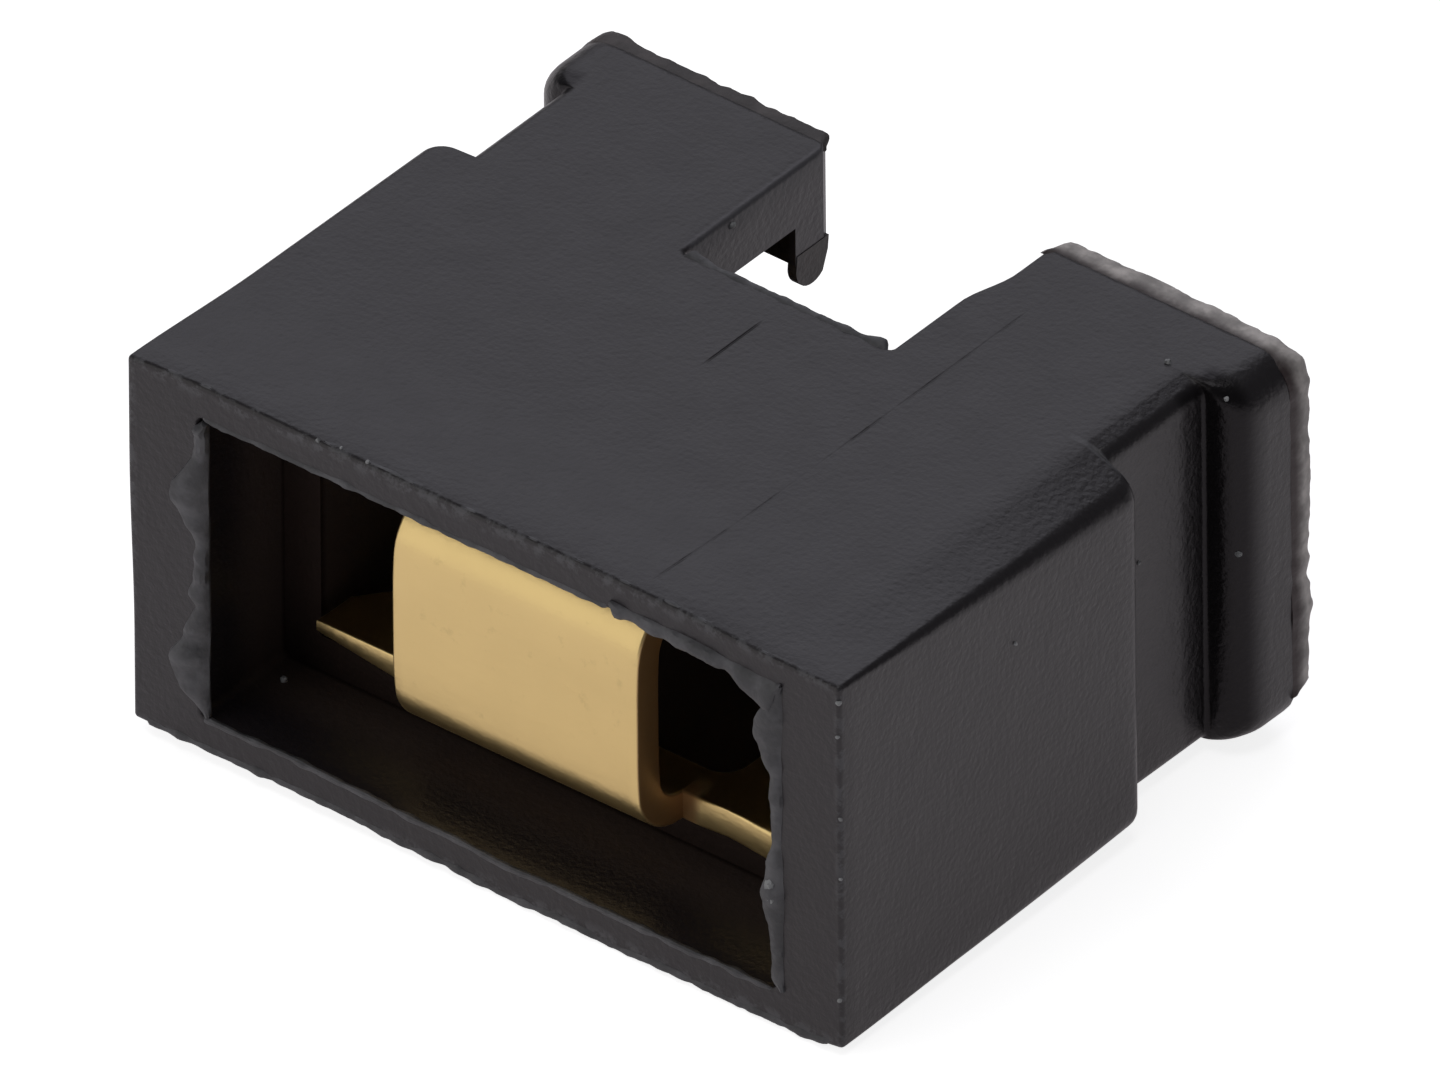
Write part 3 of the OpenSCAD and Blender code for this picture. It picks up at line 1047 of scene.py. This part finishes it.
class SHUNT_OT_studio(bpy.types.Operator):
    """Builds the pale floor, the soft lights and the camera"""
    bl_idname = "shunt.studio"
    bl_label = "Studio"

    def execute(self, context):
        self.floor(context)
        self.world(context)
        self.lights()
        self.camera(context)
        context.scene.view_settings.view_transform = "Standard"
        return {"FINISHED"}

    def floor(self, context):
        """A pale disc under the part, white to the camera and clear from below."""
        colours = context.scene.shunt_colours
        gap, radius = 0.02 * MM, 0.06
        made = bmesh.new()
        bmesh.ops.create_circle(made, cap_ends=True, segments=96, radius=radius)
        floor = as_object("floor", made)
        sag = context.scene.shunt_housing.floor_bow
        floor.location = (0, 0, HOUSING_LOW.z - sag - gap)
        finish = Finish("pale_floor")
        plain = finish.add("ShaderNodeBsdfDiffuse", None, {"Color": opaque(colours.paper)})
        camera = finish.add("ShaderNodeLightPath", output="Is Camera Ray")
        glossy = finish.add("ShaderNodeLightPath", output="Is Glossy Ray")
        shade = finish.mix(glossy, (0, 0, 0, 1), opaque(colours.paper_mirrored))
        shade = finish.mix(camera, shade, opaque(colours.paper_glow))
        glow = finish.add("ShaderNodeEmission", None, {"Color": shade, "Strength": 1.0})
        lit = finish.add("ShaderNodeAddShader", None, {0: plain, 1: glow})
        below = finish.add("ShaderNodeNewGeometry", output="Backfacing")
        clear = finish.add("ShaderNodeBsdfTransparent")
        finish.end(finish.add("ShaderNodeMixShader", None, {0: below, 1: lit, 2: clear}))
        floor.data.materials.append(finish.material)
        floor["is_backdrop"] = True

    def world(self, context):
        """A dim room that the camera sees as white."""
        world = bpy.data.worlds.new("studio")
        nodes = Nodes(world)
        room = nodes.add("ShaderNodeBackground", None, {
            "Color": opaque(context.scene.shunt_colours.room), "Strength": 0.12})
        white = nodes.add("ShaderNodeBackground", None, {"Color": (1, 1, 1, 1), "Strength": 1.0})
        camera = nodes.add("ShaderNodeLightPath", output="Is Camera Ray")
        nodes.end(nodes.add("ShaderNodeMixShader", None, {0: camera, 1: room, 2: white}),
                  "ShaderNodeOutputWorld")
        context.scene.world = world

    def lights(self):
        """A large light behind the part, one above it and one before it."""
        aim = (0, 0, HOUSING_H / 2 * MM)
        reach = 0.4
        for name, size, radiance, tint, azimuth, elevation in (
                ("back_softbox", 0.3, 0.93, (0.92, 0.91, 1.0), 219, 38),
                ("top_softbox", 0.2, 1.6, (1.0, 1.0, 1.0), 0, 85),
                ("front_softbox", 0.4, 0.8, (1.0, 0.97, 0.94), -31, 16)):
            place = direction(math.radians(azimuth), math.radians(elevation)) * reach
            add_lamp(name, size, radiance, tint, place, aim)

    def camera(self, context):
        """A parallel view onto the part's front, right side and top."""
        settings = context.scene.shunt_studio
        data = bpy.data.cameras.new("camera")
        data.type = "ORTHO"
        data.ortho_scale = settings.width
        data.clip_start, data.clip_end = settings.distance * 0.1, settings.distance * 3
        camera = bpy.data.objects.new("camera", data)
        context.scene.collection.objects.link(camera)
        back = direction(settings.azimuth, settings.elevation)
        target = Vector((settings.target_x, FRONT_Y + settings.target_depth, settings.target_z))
        camera.location = target + back * settings.distance
        turn = (-back).to_track_quat("-Z", "Y").to_matrix().to_4x4()
        camera.rotation_euler = (turn @ Matrix.Rotation(settings.roll, 4, "Z")).to_euler()
        context.scene.camera = camera


# Add-on --------------------------------------------------------------------

class SHUNT_PT_parts(bpy.types.Panel):
    """Lists the shunt's parts in the sidebar"""
    bl_idname = "SHUNT_PT_parts"
    bl_label = "Jumper Shunt"
    bl_space_type = "VIEW_3D"
    bl_region_type = "UI"
    bl_category = "Shunt"

    def draw(self, context):
        for operator in OPERATORS:
            self.layout.operator(operator.bl_idname)


SETTINGS = {
    "shunt_housing": HousingSizes,
    "shunt_contact": ContactSizes,
    "shunt_colours": FinishColours,
    "shunt_studio": StudioSettings,
}
OPERATORS = (SHUNT_OT_housing, SHUNT_OT_flash, SHUNT_OT_contact, SHUNT_OT_studio)


def register():
    for name, group in SETTINGS.items():
        bpy.utils.register_class(group)
        setattr(bpy.types.Scene, name, PointerProperty(type=group))
    for kind in (*OPERATORS, SHUNT_PT_parts):
        bpy.utils.register_class(kind)


def unregister():
    for kind in reversed((*OPERATORS, SHUNT_PT_parts)):
        bpy.utils.unregister_class(kind)
    for name, group in SETTINGS.items():
        delattr(bpy.types.Scene, name)
        bpy.utils.unregister_class(group)


def main():
    register()
    bpy.ops.shunt.housing()
    bpy.ops.shunt.flash()
    bpy.ops.shunt.contact()
    bpy.ops.shunt.studio()
    boxes = {"cad": CAD_BOX, "visual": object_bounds()}
    {name: [list(corner) for corner in box] for name, box in boxes.items()}


if __name__ == "__main__":
    main()
